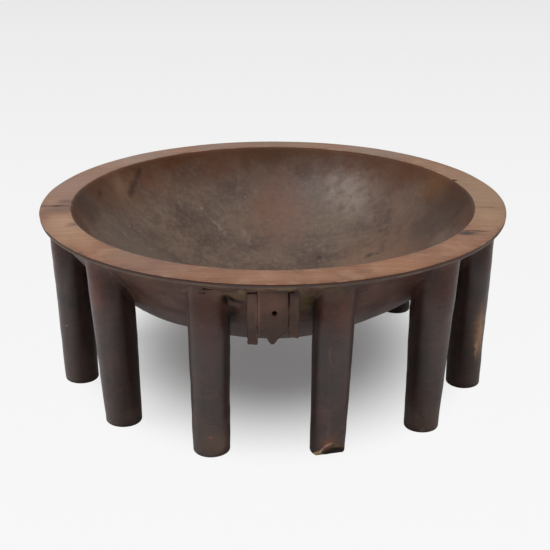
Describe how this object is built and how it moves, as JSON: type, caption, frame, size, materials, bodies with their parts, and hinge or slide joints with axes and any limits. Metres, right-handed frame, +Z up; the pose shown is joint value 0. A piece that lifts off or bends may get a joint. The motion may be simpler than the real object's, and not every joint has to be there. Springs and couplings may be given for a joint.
{
  "type": "kava bowl",
  "caption": "Round footed wooden bowl for mixing and serving a drink, with a wide flat rim, a ring of tapered legs and a pierced hanging lug.",
  "frame": {"origin": "on the ground under the middle of the bowl, level with the feet", "axes": "+Z up through the middle of the mouth, -Y towards the side with the hanging lug, +X to the right of a viewer who faces the lug"},
  "size_m": [0.4299, 0.43, 0.1653],
  "materials": {
    "rim_wood": "rubbed, satin",
    "bowl_wood": "stained and polished by use, satin",
    "leg_wood": "dark, oiled, satin",
    "lug_wood": "dark, knife cut, satin"
  },
  "bodies": {
    "root": {"bowl": "bowl_wood", "rim": "rim_wood", "leg_01": "leg_wood", "leg_02": "leg_wood", "leg_03": "leg_wood", "leg_04": "leg_wood", "leg_05": "leg_wood", "leg_06": "leg_wood", "leg_07": "leg_wood", "leg_08": "leg_wood", "leg_09": "leg_wood", "leg_10": "leg_wood", "leg_11": "leg_wood", "leg_12": "leg_wood", "lug_plate": "lug_wood", "lug_rib_left": "lug_wood", "lug_rib_right": "lug_wood"}
  },
  "joints": []
}
